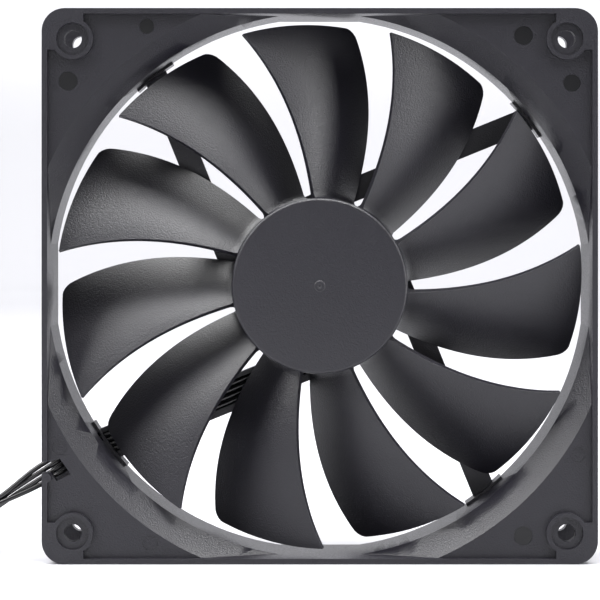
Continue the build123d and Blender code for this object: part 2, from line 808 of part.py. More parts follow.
def bundle_tube(points):
    # straight runs joined by tangent arcs
    radii = largest_radii(points)
    with BuildPart() as made:
        with BuildLine() as path:
            FilletPolyline(*points, radius=radii)
        with BuildSketch(Plane(origin=points[0], z_dir=path.wires()[0] % 0)):
            Circle(bundle_diameter / 2)
        sweep(path=path.wires()[0])
    length = path.wires()[0].length
    share = made.part.volume / (length * math.pi * bundle_diameter**2 / 4)
    print("tube", round(length, 2), "volume share", round(share, 5), "radii", [round(r, 1) for r in radii])
    return made.part


floor_turn_height = tie_thickness + bundle_diameter / 2
top_turn_height = floor_turn_height + bundle_diameter * (coil_turns - 1)

# from the frame's side down to the coil; the last point is where its top turn begins
lead_cord_route = [
    exit_point,
    exit_point + Vector(-7.2, -0.7, -4.6),
    exit_point + Vector(-14.2, -1.6, -9.0),
    exit_point + Vector(-21.4, -3.0, -12.4),
    exit_point + Vector(-28.8, -4.2, -13.9),
    Vector(exit_point.X - 36.1, exit_point.Y - 4.7, top_turn_height),
]
save(bundle_tube(lead_cord_route), "lead_cord")
coil_centre = lead_cord_route[-1] + Vector(0, coil_radius, -top_turn_height)


def coil_outline():
    # the section of the turns, one on another, drawn in the current sketch
    with Locations((coil_radius, floor_turn_height), (coil_radius, top_turn_height)):
        Circle(bundle_diameter / 2)
    make_hull()


# upright through the coil's middle, local x outwards where the tie is
tie_turn = math.radians(tie_angle)
tie_outwards = Vector(math.cos(tie_turn), math.sin(tie_turn), 0)
coil_plane = Plane(origin=coil_centre, x_dir=tie_outwards, z_dir=tie_outwards.cross(Vector(0, 0, 1)))

with BuildPart() as lead_coil:
    with BuildSketch(coil_plane):
        coil_outline()
    revolve(axis=Axis(coil_centre, (0, 0, 1)))
save(lead_coil.part, "lead_coil")

with BuildPart() as cable_tie:
    with BuildSketch(coil_plane):
        coil_outline()
        offset(amount=tie_thickness)
        with BuildSketch(Plane.XY, mode=Mode.SUBTRACT):
            coil_outline()
    extrude(amount=tie_width / 2, both=True)
    head_inside = coil_radius + bundle_diameter / 2 + tie_thickness / 2
    with BuildSketch(coil_plane):
        with Locations((head_inside + tie_head_reach / 2, (floor_turn_height + top_turn_height) / 2)):
            Rectangle(tie_head_reach, tie_head_height)
    extrude(amount=tie_head_width / 2, both=True)
save(cable_tie.part, "cable_tie")

# the tail leaves the lowest turn and bends in to the plug inside the coil
tail_middle = coil_centre + Vector(coil_radius - tail_radius, 0, 0)
tail_end_run = tail_radius * math.sin(math.radians(tail_step / 2))


def tail_heading(angle):
    return Vector(-math.sin(math.radians(angle)), -math.cos(math.radians(angle)), 0)


tail_turns = len(tail_heights) - 3
tail_plan = [coil_centre + Vector(coil_radius, tail_end_run, 0)]
for step in range(tail_turns + 1):
    around = math.radians(tail_step * step)
    tail_plan.append(tail_middle + Vector(math.cos(around), -math.sin(around), 0) * tail_radius)
plug_heading = tail_heading(tail_step * tail_turns)
tail_plan.append(tail_plan[-1] + plug_heading * tail_end_run)
tail_route = [point + Vector(0, 0, height) for point, height in zip(tail_plan, tail_heights)]
save(bundle_tube(tail_route), "lead_tail")

# ---- plug: housing with four contacts, and the wires that spread to it ----

tail_end = tail_route[-1]
plug_across = Vector(-plug_heading.Y, plug_heading.X, 0)
plug_foot = Vector(tail_end.X, tail_end.Y, 0) + plug_heading * plug_splay
plug_middle_height = plug_thickness / 2
plug_base_plane = Plane(origin=plug_foot, x_dir=plug_heading, z_dir=(0, 0, 1))
plug_back_plane = Plane(
    origin=plug_foot + Vector(0, 0, plug_middle_height), x_dir=plug_across, z_dir=plug_heading
)
plug_front_plane = plug_back_plane.offset(plug_length)

with BuildPart() as plug_housing:
    with BuildSketch(plug_base_plane):
        with Locations((plug_length / 2, 0)):
            Rectangle(plug_length, plug_width)
    extrude(amount=plug_thickness + plug_rib_height)
    with BuildSketch(plug_base_plane.offset(plug_thickness)):
        with Locations((plug_length / 2, 0)):
            Rectangle(plug_length, plug_width)
        with Locations((plug_length / 2, plug_pitch), (plug_length / 2, -plug_pitch)):
            Rectangle(plug_length, plug_rib_width, mode=Mode.SUBTRACT)
    extrude(amount=plug_rib_height, mode=Mode.SUBTRACT)
    with BuildSketch(plug_front_plane):
        with GridLocations(plug_pitch, 0, wire_count, 1):
            Rectangle(plug_cavity, plug_cavity)
    extrude(amount=-plug_cavity_length, mode=Mode.SUBTRACT)
    with BuildSketch(plug_back_plane):
        with GridLocations(plug_pitch, 0, wire_count, 1):
            Circle(plug_entry_radius)
    extrude(amount=plug_length - plug_cavity_length, mode=Mode.SUBTRACT)
save(plug_housing.part, "plug_housing")

with BuildPart() as plug_terminals:
    with BuildSketch(plug_front_plane.offset(-terminal_setback)):
        with GridLocations(plug_pitch, 0, wire_count, 1):
            Rectangle(terminal_side, terminal_side)
    extrude(amount=-terminal_length)
save(plug_terminals.part, "plug_terminals")

packed_offset = bundle_diameter / 2 - wire_radius
packed_places = [(-1, 1), (-1, -1), (1, -1), (1, 1)]
splay_radius = splay_bend * wire_radius
splayed = []
for wire, (side, level) in enumerate(packed_places):
    packed = plug_across * (side * packed_offset / math.sqrt(2))
    packed += Vector(0, 0, level * packed_offset / math.sqrt(2))
    spread = plug_across * ((wire - (wire_count - 1) / 2) * plug_pitch)
    entry = plug_foot + Vector(0, 0, plug_middle_height) + spread
    corners = [
        tail_end + packed,
        tail_end + packed + plug_heading * (plug_splay / 4),
        entry - plug_heading * (plug_splay / 6),
        entry + plug_heading * plug_wire_seat,
    ]
    splayed.append(wire_along(corners, [splay_radius, splay_radius]))
save(Compound(children=splayed), "plug_wires")
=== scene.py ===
import math

import bmesh
import bpy
from mathutils import Euler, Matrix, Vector


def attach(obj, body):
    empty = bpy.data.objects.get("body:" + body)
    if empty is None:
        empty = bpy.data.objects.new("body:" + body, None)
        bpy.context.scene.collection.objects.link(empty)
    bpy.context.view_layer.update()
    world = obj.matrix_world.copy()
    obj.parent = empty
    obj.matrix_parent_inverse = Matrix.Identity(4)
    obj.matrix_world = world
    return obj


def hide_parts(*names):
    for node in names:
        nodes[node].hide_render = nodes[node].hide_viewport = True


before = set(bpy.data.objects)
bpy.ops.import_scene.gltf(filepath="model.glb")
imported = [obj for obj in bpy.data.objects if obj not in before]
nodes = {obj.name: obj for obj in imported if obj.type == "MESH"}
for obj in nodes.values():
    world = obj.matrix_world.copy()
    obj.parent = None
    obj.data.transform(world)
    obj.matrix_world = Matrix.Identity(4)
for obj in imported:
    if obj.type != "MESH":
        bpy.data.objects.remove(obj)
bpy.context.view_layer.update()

# A 140 mm case fan, standing on its lower side with its intake face to the front (-Y).
# Sizes below are in millimetres; everything in Blender is in metres.

scene = bpy.context.scene
mm = 0.001
fanCentre = Vector((0, 0, 70))
frontFace = -12.5


def fromFront(right, up, depth):
    # a place seen from the front, measured from the fan's axis and the intake face
    return Vector((right, frontFace + depth, fanCentre.z + up)) * mm


def newObject(name, mesh):
    thing = bpy.data.objects.new(name, mesh)
    scene.collection.objects.link(thing)
    return thing


def smoothByAngle(mesh, degrees):
    mesh.shade_smooth()
    mesh.set_sharp_from_angle(angle=math.radians(degrees))


def addBevel(thing, width, segments=2, degrees=40):
    bevel = thing.modifiers.new("edgeRounding", "BEVEL")
    bevel.width = width * mm
    bevel.segments = segments
    bevel.limit_method = "ANGLE"
    bevel.angle_limit = math.radians(degrees)
    bevel.miter_outer = "MITER_ARC"
    bevel.harden_normals = True
    return bevel


def smoothStep(value, start, end):
    share = min(1, max(0, (value - start) / (end - start)))
    return share * share * (3 - 2 * share)


print("camera")

viewpoint = {
    "place": (-2, -582.5, 88),
    "lens": 135.95,
    "shiftX": -0.01975,
    "shiftY": -0.14225,
}

cameraData = bpy.data.cameras.new("camera")
cameraData.lens = viewpoint["lens"]
cameraData.sensor_width = 36
cameraData.shift_x = viewpoint["shiftX"]
cameraData.shift_y = viewpoint["shiftY"]
cameraData.clip_start = 0.01
cameraData.clip_end = 20
camera = newObject("camera", cameraData)
camera.location = Vector(viewpoint["place"]) * mm
camera.rotation_euler = (math.pi / 2, 0, 0)
scene.camera = camera

print("materials")


def toLinear(hexValue):
    channels = [int(hexValue[i:i + 2], 16) / 255 for i in (1, 3, 5)]
    return [c / 12.92 if c <= 0.04045 else ((c + 0.055) / 1.055) ** 2.4 for c in channels] + [1]


def perMetre(size):
    # texture scale for a pattern whose features are this many millimetres apart
    return 1 / (size * mm)


def addNode(tree, kind, links=None, **settings):
    # settings name the node's properties; inputs and links name its sockets, or give their numbers
    node = tree.nodes.new(kind)
    inputs = settings.pop("inputs", {})
    for key, value in settings.items():
        setattr(node, key, value)
    for key, value in inputs.items():
        node.inputs[key].default_value = value
    for key, source in (links or {}).items():
        tree.links.new(source, node.inputs[key])
    return node


def newMaterial(name, **shaderInputs):
    # an empty material with its shader; the pattern nodes are added by whoever asks for it
    material = bpy.data.materials.new(name)
    material.use_nodes = True
    tree = material.node_tree
    tree.nodes.clear()
    shader = addNode(tree, "ShaderNodeBsdfPrincipled", inputs=shaderInputs)
    addNode(tree, "ShaderNodeOutputMaterial", {"Surface": shader.outputs[0]})
    place = addNode(tree, "ShaderNodeTexCoord").outputs["Object"]
    return material, tree, shader, place


def linkFinish(tree, shader, look, shade, pattern, span, strength):
    # the tone follows the slow shade; gloss and relief follow the fine pattern
    tone = addNode(tree, "ShaderNodeMix", {"Factor": shade}, data_type="RGBA", inputs={
        6: toLinear(look["dark"]), 7: toLinear(look["light"])})
    gloss = addNode(tree, "ShaderNodeMapRange", {"Value": pattern}, inputs={
        "From Min": span[0], "From Max": span[1],
        "To Min": look["roughness"][0], "To Max": look["roughness"][1]})
    relief = addNode(tree, "ShaderNodeBump", {"Height": pattern}, inputs={
        "Strength": strength, "Distance": look["relief"] * mm})
    tree.links.new(tone.outputs[2], shader.inputs["Base Color"])
    tree.links.new(gloss.outputs[0], shader.inputs["Roughness"])
    tree.links.new(relief.outputs[0], shader.inputs["Normal"])


noiseSpan = (0.3, 0.7)         # a noise pattern's values lie mostly between these


def mouldedPlastic(name, look):
    # injection moulded, with the spark-eroded grain of its mould, and a slow drift of tone
    material, tree, shader, place = newMaterial(name, IOR=look["ior"])
    grain = addNode(tree, "ShaderNodeTexNoise", {"Vector": place}, inputs={
        "Scale": perMetre(look["grain"]), "Detail": 3.0, "Roughness": 0.6})
    drift = addNode(tree, "ShaderNodeTexNoise", {"Vector": place}, inputs={
        "Scale": perMetre(look["drift"]), "Detail": 2.0, "Roughness": 0.5})
    linkFinish(tree, shader, look, drift.outputs["Fac"], grain.outputs["Fac"], noiseSpan,
               look["reliefStrength"])
    return material


def workedMetal(name, look):
    # a metal with the fine marks of its making, drawn out in one direction, and a slow drift of tone
    material, tree, shader, place = newMaterial(name, Metallic=1.0)
    marksPlace = addNode(tree, "ShaderNodeMapping", {"Vector": place}, inputs={"Scale": look["stretch"]})
    marks = addNode(tree, "ShaderNodeTexNoise", {"Vector": marksPlace.outputs[0]}, inputs={
        "Scale": perMetre(look["marks"]), "Detail": 4.0, "Roughness": 0.6})
    drift = addNode(tree, "ShaderNodeTexNoise", {"Vector": place}, inputs={
        "Scale": perMetre(look["drift"]), "Detail": 2.0, "Roughness": 0.5})
    linkFinish(tree, shader, look, drift.outputs["Fac"], marks.outputs["Fac"], noiseSpan, 0.4)
    return material


def bandedFinish(name, look):
    # thin layers or turns of wire side by side: each has its own shadow line, rougher than its crest
    material, tree, shader, place = newMaterial(name, Metallic=look["metallic"])
    bands = addNode(tree, "ShaderNodeTexWave", {"Vector": place}, bands_direction=look["across"], inputs={
        "Scale": perMetre(look["pitch"]) / 20 * math.pi, "Distortion": look["unevenness"], "Detail": 1.0})
    linkFinish(tree, shader, look, bands.outputs["Fac"], bands.outputs["Fac"], (0, 1), 0.7)
    return material


# black PBT with a fine mould grain: a soft grey-violet sheen and no mirror reflections;
# the real grain is near 0.1 mm, and it is drawn coarser so that it shows
framePlastic = mouldedPlastic("mouldedBlackPbt", {
    "dark": "#100f16", "light": "#16151d", "ior": 1.55, "grain": 0.42, "drift": 22,
    "roughness": (0.3, 0.46), "relief": 0.125, "reliefStrength": 1.0})
# where the mould's ejector pins pressed: the pin's polish leaves a smoother disc, and its darker colour is
# painted shade for the shallow recess
pinPolishAndShade = mouldedPlastic("pinPolishedPbtPaintedShade", {
    "dark": "#0a0a0c", "light": "#0e0e11", "ior": 1.5, "grain": 0.9, "drift": 5,
    "roughness": (0.3, 0.36), "relief": 0.01, "reliefStrength": 0.3})
# extruded PVC insulation: wet-looking, with sharp highlight lines along each wire
wirePvc = mouldedPlastic("extrudedBlackPvc", {
    "dark": "#0b0b0d", "light": "#121215", "ior": 1.53, "grain": 0.9, "drift": 14,
    "roughness": (0.16, 0.24), "relief": 0.01, "reliefStrength": 0.3})
# black nylon: waxy, a little glossier than the frame, with almost no grain
blackNylon = mouldedPlastic("mouldedBlackNylon", {
    "dark": "#141416", "light": "#1c1c1f", "ior": 1.53, "grain": 0.8, "drift": 6,
    "roughness": (0.3, 0.38), "relief": 0.012, "reliefStrength": 0.4})
# black plastic cap behind the bearing: even and matte
capPlastic = mouldedPlastic("mouldedBlackCap", {
    "dark": "#17171a", "light": "#1d1d20", "ior": 1.5, "grain": 0.4, "drift": 9,
    "roughness": (0.44, 0.55), "relief": 0.03, "reliefStrength": 0.5})
# blank polyester film label: smooth satin, flatter than the plastic round it
labelFilm = mouldedPlastic("satinPolyesterFilm", {
    "dark": "#232327", "light": "#28282c", "ior": 1.58, "grain": 1.6, "drift": 18,
    "roughness": (0.27, 0.33), "relief": 0.008, "reliefStrength": 0.3})
# undyed nylon: milky and slightly yellow
naturalNylon = mouldedPlastic("mouldedNaturalNylon", {
    "dark": "#d9d3c2", "light": "#e6e1d3", "ior": 1.53, "grain": 0.7, "drift": 4,
    "roughness": (0.35, 0.45), "relief": 0.01, "reliefStrength": 0.4})
# undyed PBT of the pole insulators: chalky ivory
naturalPbt = mouldedPlastic("mouldedNaturalPbt", {
    "dark": "#dcd6c6", "light": "#e9e4d7", "ior": 1.55, "grain": 0.5, "drift": 7,
    "roughness": (0.42, 0.54), "relief": 0.02, "reliefStrength": 0.5})
# solder mask over glass cloth: glossy green with the weave just showing as a slow ripple
solderMask = mouldedPlastic("solderMaskedGlassBoard", {
    "dark": "#0f4a28", "light": "#17613a", "ior": 1.52, "grain": 1.1, "drift": 5,
    "roughness": (0.18, 0.3), "relief": 0.02, "reliefStrength": 0.4})
# epoxy packages: near-black and finely sanded-looking
chipEpoxy = mouldedPlastic("mouldedEpoxyPackage", {
    "dark": "#19191a", "light": "#202021", "ior": 1.55, "grain": 0.25, "drift": 2,
    "roughness": (0.5, 0.62), "relief": 0.015, "reliefStrength": 0.5})
# moulded tantalum capacitor: mustard yellow
capacitorCase = mouldedPlastic("mouldedTantalumCase", {
    "dark": "#b98a2c", "light": "#c8993a", "ior": 1.55, "grain": 0.3, "drift": 2,
    "roughness": (0.4, 0.5), "relief": 0.012, "reliefStrength": 0.4})
# bonded ferrite: dull charcoal with a gritty surface
bondedFerrite = mouldedPlastic("bondedFerrite", {
    "dark": "#262422", "light": "#34312e", "ior": 1.6, "grain": 0.3, "drift": 4,
    "roughness": (0.55, 0.7), "relief": 0.03, "reliefStrength": 0.6})

# deep-drawn zinc-plated steel: soft grey with draw lines along the axis
zincedSteel = workedMetal("drawnZincPlatedSteel", {
    "dark": "#a3a4a8", "light": "#bcbdc1", "stretch": (1, 0.08, 1), "marks": 0.5, "drift": 8,
    "roughness": (0.28, 0.42), "relief": 0.01})
# ground shaft: bright, with fine rings round it
groundSteel = workedMetal("groundShaftSteel", {
    "dark": "#c3c4c8", "light": "#d6d7da", "stretch": (0.15, 1, 0.15), "marks": 0.3, "drift": 4,
    "roughness": (0.1, 0.2), "relief": 0.004})
# turned brass: warm yellow with tool rings
turnedBrass = workedMetal("turnedBrass", {
    "dark": "#c39a4c", "light": "#d8b262", "stretch": (0.2, 1, 0.2), "marks": 0.4, "drift": 5,
    "roughness": (0.2, 0.34), "relief": 0.008})
# stamped spring steel: dark, slightly blued
springSteel = workedMetal("stampedSpringSteel", {
    "dark": "#77797f", "light": "#8d8f96", "stretch": (1, 0.2, 1), "marks": 0.4, "drift": 3,
    "roughness": (0.25, 0.4), "relief": 0.006})
# sintered bronze: brown-gold and open-grained, damp with oil
sinteredBronze = workedMetal("sinteredBronze", {
    "dark": "#8a6238", "light": "#a67a48", "stretch": (1, 1, 1), "marks": 0.25, "drift": 3,
    "roughness": (0.35, 0.6), "relief": 0.03})
# tin plate on the contacts and pins: pale, satin and slightly warm
tinPlate = workedMetal("brightTinPlate", {
    "dark": "#c9c5b8", "light": "#dcd9cd", "stretch": (1, 1, 1), "marks": 0.4, "drift": 2,
    "roughness": (0.22, 0.36), "relief": 0.005})
# half-millimetre electrical steel sheets, stacked along the axis: fine dark lines round the poles
lamination = bandedFinish("stackedElectricalSteel", {
    "metallic": 1.0, "across": "Y", "pitch": 0.5, "unevenness": 0.0, "dark": "#5a5a5e", "light": "#9a9a9e",
    "roughness": (0.5, 0.3), "relief": 0.04})
# a quarter-millimetre enamelled wire, wound side by side: coppery red with a line at each turn
enamelledCopper = bandedFinish("woundEnamelledCopper", {
    "metallic": 1.0, "across": "Y", "pitch": 0.28, "unevenness": 0.4, "dark": "#5d2a12", "light": "#b4623a",
    "roughness": (0.4, 0.22), "relief": 0.06})

cadFinishes = [
    (zincedSteel, ["rotor_yoke"]),
    (bondedFerrite, ["ring_magnet"]),
    (groundSteel, ["shaft"]),
    (turnedBrass, ["shaft_insert", "bearing_tube"]),
    (springSteel, ["retaining_clip"]),
    (naturalNylon, ["oil_washer", "thrust_pad"]),
    (sinteredBronze, ["sleeve_bearing"]),
    (lamination, ["stator_core"]),
    (naturalPbt, ["upper_insulator", "lower_insulator"]),
    (enamelledCopper, ["winding_1", "winding_2", "winding_3", "winding_4"]),
    (tinPlate, ["stator_pins", "plug_terminals"]),
    (solderMask, ["circuit_board"]),
    (chipEpoxy, ["hall_sensor", "driver_ic", "diode", "chip_resistors"]),
    (capacitorCase, ["capacitor"]),
    (wirePvc, ["leads", "plug_wires"]),
]
for finish, nodeNames in cadFinishes:
    for nodeName in nodeNames:
        for slot in nodes[nodeName].material_slots:
            slot.material = finish


def finishedCopy(nodeName, name, material, width, segments=2):
    # the same shape with its faces merged and its edges rounded
    shell = bmesh.new()
    shell.from_mesh(nodes[nodeName].data)
    bmesh.ops.remove_doubles(shell, verts=shell.verts, dist=0.000002)
    bmesh.ops.dissolve_limit(shell, angle_limit=math.radians(0.2), verts=shell.verts, edges=shell.edges)
    mesh = bpy.data.meshes.new(name)
    shell.to_mesh(mesh)
    shell.free()
    smoothByAngle(mesh, 22)
    thing = newObject(name, mesh)
    addBevel(thing, width, segments)
    # flat faces keep their own direction, so their corners don't shade
    weighted = thing.modifiers.new("flatShading", "WEIGHTED_NORMAL")
    weighted.keep_sharp = True
    weighted.weight = 90
    thing.data.materials.append(material)
    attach(thing, "housing")
    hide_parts(nodeName)
    return thing


print("plug, tie, cap and label")

plugShell = finishedCopy("plug_housing", "plugShell", blackNylon, 0.15)
tieStrap = finishedCopy("cable_tie", "tieStrap", blackNylon, 0.1)
rearCap = finishedCopy("rear_cap", "rearCap", capPlastic, 0.15)
rearLabel = finishedCopy("rear_label", "rearLabel", labelFilm, 0.03)

print("lead")

lead = {
    "wires": 4,
    "wireRadius": 0.65,
    "rowPitch": 1.4,           # the four wires lie side by side where they leave the frame
    "rowRun": 15,              # length over which the row closes up into a bundle
    "packRadius": 0.92,
    "packAngles": (135, 225, 315, 45),
    "lay": 27,                 # length of one turn of the loosely twisted bundle
    "twistRun": 60,            # length over which the twist sets in
    "hidden": 2.5,             # start of the strands inside the frame, and their taper there
    "hiddenTaper": 0.97,
    "bundle": 3.1,
    "slope": 32.2,
    "exit": (-70, -6.8, 22.4),
    "topTurn": 8.35,           # height of the coil's top turn, and the radius of all of them
    "coilRadius": 19.15,
    "coilTurns": 2.75,
    "stepDown": (285, 375),    # degrees between which a turn comes down onto the next place
    "pointsPerTurn": 16,
    "tailRadius": 10.95,
    "tailStep": 17,
}
# the free run from the frame's side down to the coil, from the exit
freeRun = [(0, 0, 0), (-7.2, -0.7, -4.6), (-14.2, -1.6, -9), (-21.4, -3, -12.4), (-28.8, -4.2, -13.9),
           (-36.1, -4.7, -14.05)]
tailHeights = [2.15, 2.15, 2.15, 2.2, 2.3, 2.45, 2.6, 2.8, 2.95, 3.1, 3.1]


def coilPoints(centre):
    # clockwise from above, each turn lying on the next; it steps down where the lead comes in
    step = 360 / lead["pointsPerTurn"]
    # the spline runs inside its control points, so they stand a little further out
    roundness = (6 + 2 * math.cos(math.radians(step))) / 8
    start, end = lead["stepDown"]
    points = []
    for number in range(1, int(lead["coilTurns"] * lead["pointsPerTurn"])):
        turned = number * step
        stepsDown = smoothStep(turned, start, end) + smoothStep(turned, start + 360, end + 360)
        height = lead["topTurn"] - lead["bundle"] * stepsDown
        around = math.radians(-90 - turned)
        outwards = Vector((math.cos(around), math.sin(around), 0))
        points.append(centre + outwards * (lead["coilRadius"] / roundness) + Vector((0, 0, height)))
    return points


def tailPoints(centre):
    # from the lowest turn inwards, to the plug inside the coil
    endRun = lead["tailRadius"] * math.sin(math.radians(lead["tailStep"] / 2))
    middle = centre + Vector((lead["coilRadius"] - lead["tailRadius"], 0, 0))
    points = [centre + Vector((lead["coilRadius"], endRun, 0))]
    turns = len(tailHeights) - 3
    for number in range(turns + 1):
        around = math.radians(-lead["tailStep"] * number)
        points.append(middle + Vector((math.cos(around), math.sin(around), 0)) * lead["tailRadius"])
    last = math.radians(lead["tailStep"] * turns)
    points.append(points[-1] + Vector((-math.sin(last), -math.cos(last), 0)) * endRun)
    return [point + Vector((0, 0, height)) for point, height in zip(points, tailHeights)]


def routeLine(points):
    # the smooth line that the bundle follows, as points read from a NURBS spline
    data = bpy.data.curves.new("leadRoute", "CURVE")
    data.dimensions = "3D"
    data.resolution_u = 8
    spline = data.splines.new("NURBS")
    spline.points.add(len(points) - 1)
    for target, point in zip(spline.points, points):
        target.co = (*(point * mm), 1)
    spline.order_u = 3
    spline.use_endpoint_u = True
    guide = newObject("leadRoute", data)
    line = bpy.data.meshes.new_from_object(guide)
    found = [vertex.co.copy() for vertex in line.vertices]
    bpy.data.objects.remove(guide)
    return found


exitPoint = Vector(lead["exit"])
route = [exitPoint + Vector(step) for step in freeRun]
coilCentre = route[-1] + Vector((0, lead["coilRadius"], -lead["topTurn"]))
route += coilPoints(coilCentre) + tailPoints(coilCentre)
centreLine = routeLine(route)

slope = math.radians(lead["slope"])
exitHeading = Vector((-math.cos(slope), 0, -math.sin(slope)))
rowAcross = Vector((math.sin(slope), 0, -math.cos(slope)))
hiddenStart = centreLine[0] - exitHeading * lead["hidden"] * mm
strandLine = [hiddenStart] + centreLine
runs = [(b - a).length for a, b in zip(strandLine, strandLine[1:])]
along = [sum(runs[:i]) - lead["hidden"] * mm for i in range(len(strandLine))]
leadLength = sum(runs[1:])

# a cross direction carried along the line without twisting
headings = [(b - a).normalized() for a, b in zip(strandLine, strandLine[1:])]
headings.append(headings[-1])
acrosses = [rowAcross]
for before, after in zip(headings, headings[1:]):
    acrosses.append(before.rotation_difference(after) @ acrosses[-1])

# whole turns of lay, ending with the pack square to the plug
endHeading = headings[-1]
plugAcross = Vector((-endHeading.y, endHeading.x, 0)).normalized()
endAcross = acrosses[-1]
endTurn = math.atan2(endHeading.cross(endAcross).dot(plugAcross), endAcross.dot(plugAcross))
lays = round(leadLength / (lead["lay"] * mm))
totalTwist = 2 * math.pi * lays + endTurn


def strandPlaces(index):
    packAngle = math.radians(lead["packAngles"][index])
    fromMiddle = (index - (lead["wires"] - 1) / 2) * lead["rowPitch"] * mm
    places = []
    for point, heading, across, distance in zip(strandLine, headings, acrosses, along):
        upwards = heading.cross(across)
        closed = smoothStep(distance, 0, lead["rowRun"] * mm)
        twisted = smoothStep(distance, 0, lead["twistRun"] * mm) * max(0, distance) / leadLength
        turn = totalTwist * twisted + packAngle
        row = across * fromMiddle
        pack = (across * math.cos(turn) + upwards * math.sin(turn)) * lead["packRadius"] * mm
        places.append(point + row.lerp(pack, closed))
    return places


strands = bmesh.new()
for index in range(lead["wires"]):
    data = bpy.data.curves.new("strand", "CURVE")
    data.dimensions = "3D"
    data.bevel_depth = lead["wireRadius"] * mm
    data.bevel_resolution = 3
    data.use_fill_caps = True
    places = strandPlaces(index)
    spline = data.splines.new("POLY")
    spline.points.add(len(places) - 1)
    for target, place in zip(spline.points, places):
        target.co = (*place, 1)
    spline.points[0].radius = lead["hiddenTaper"]
    guide = newObject("strand", data)
    tube = bpy.data.meshes.new_from_object(guide)
    strands.from_mesh(tube)
    bpy.data.objects.remove(guide)
leadMesh = bpy.data.meshes.new("leadWires")
bmesh.ops.recalc_face_normals(strands, faces=strands.faces)
strands.to_mesh(leadMesh)
strands.free()
smoothByAngle(leadMesh, 50)
leadWires = newObject("leadWires", leadMesh)
leadWires.data.materials.append(wirePvc)
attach(leadWires, "housing")
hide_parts("lead_cord", "lead_coil", "lead_tail")
print("lead", round(leadLength * 1000), "mm, lays", lays)

print("impeller")

hub = {
    "radius": 22.2, "wall": 1.3, "faceDepth": 0.9, "faceThickness": 1.7, "endDepth": 20.2, "edge": 0.8,
    "gateRadius": 1.4, "gateHeight": 0.15, "dimpleRadius": 0.5, "bossRadius": 4.5, "bossEnd": 5.9,
    "insertRadius": 3, "insertFront": 1.8, "steps": 192, "dimpleDepth": 0.02, "dimpleDraft": 0.1,
    "gateDraft": 0.15, "edgeCells": 6,
}
blade = {
    "count": 11, "tip": 66.6, "rootSunk": 0.6, "thickness": 1.5, "taper": 0.25, "endDepth": 20.2,
    "leadDepth": 4.6, "leadDrop": 2.8, "leadDropSpan": 24, "flatness": 0.55,
    "leadAngle": (29.1, 0.171, 0.00254), "trailAngle": (2.8, 0.174, 0.00346),
    "rootFillet": 1.3, "tailCorner": 2.2, "chordCells": 26, "spanCells": 40, "edge": 0.22,
    "chordAngle": 27,          # degrees that the chord takes at the tip
    "rowBunching": 0.65,       # how far the rows crowd towards the root and the tip
}


def hubProfile():
    # half section of the cup, from the middle of its face round to the inside: radius and depth
    face = hub["faceDepth"]
    inner = hub["radius"] - hub["wall"]
    innerFace = face + hub["faceThickness"]
    dimpleFloor = face - hub["dimpleDepth"]
    gateTop = face - hub["gateHeight"]
    outline = [(0, dimpleFloor), (hub["dimpleRadius"] - hub["dimpleDraft"], dimpleFloor),
               (hub["dimpleRadius"], gateTop), (hub["gateRadius"] - hub["gateDraft"], gateTop),
               (hub["gateRadius"], face)]
    for number in range(hub["edgeCells"] + 1):
        around = math.radians(90 / hub["edgeCells"] * number)
        outline.append((hub["radius"] - hub["edge"] * (1 - math.sin(around)),
                        face + hub["edge"] * (1 - math.cos(around))))
    outline += [(hub["radius"], hub["endDepth"]), (inner, hub["endDepth"]), (inner, innerFace),
                (hub["bossRadius"], innerFace), (hub["bossRadius"], hub["bossEnd"]),
                (hub["insertRadius"], hub["bossEnd"]), (hub["insertRadius"], hub["insertFront"]),
                (0, hub["insertFront"])]
    return outline


def addHub(work):
    line = [work.verts.new(fromFront(radius, 0, depth)) for radius, depth in hubProfile()]
    edges = [work.edges.new(pair) for pair in zip(line, line[1:])]
    bmesh.ops.spin(work, geom=line + edges, cent=fromFront(0, 0, 0), axis=(0, 1, 0), dvec=(0, 0, 0),
                   angle=2 * math.pi, steps=hub["steps"], use_merge=True)
    bmesh.ops.remove_doubles(work, verts=work.verts, dist=0.00001)


def bladePlace(share, radius):
    # a point of the blade's middle surface; share runs from the leading to the trailing edge
    out = max(0, radius - hub["radius"])
    start, sweep, curl = blade["leadAngle"]
    leadAngle = start + sweep * out + curl * out * out
    start, sweep, curl = blade["trailAngle"]
    trailAngle = start + sweep * out + curl * out * out
    inwards = max(0, 1 - out / blade["leadDropSpan"])
    leadDepth = blade["leadDepth"] + blade["leadDrop"] * inwards * inwards
    bend = blade["flatness"] * share + (1 - blade["flatness"]) * share * share
    around = math.radians(leadAngle + (trailAngle - leadAngle) * share)
    depth = leadDepth + (blade["endDepth"] - leadDepth) * bend
    return fromFront(radius * math.cos(around), radius * math.sin(around), depth)


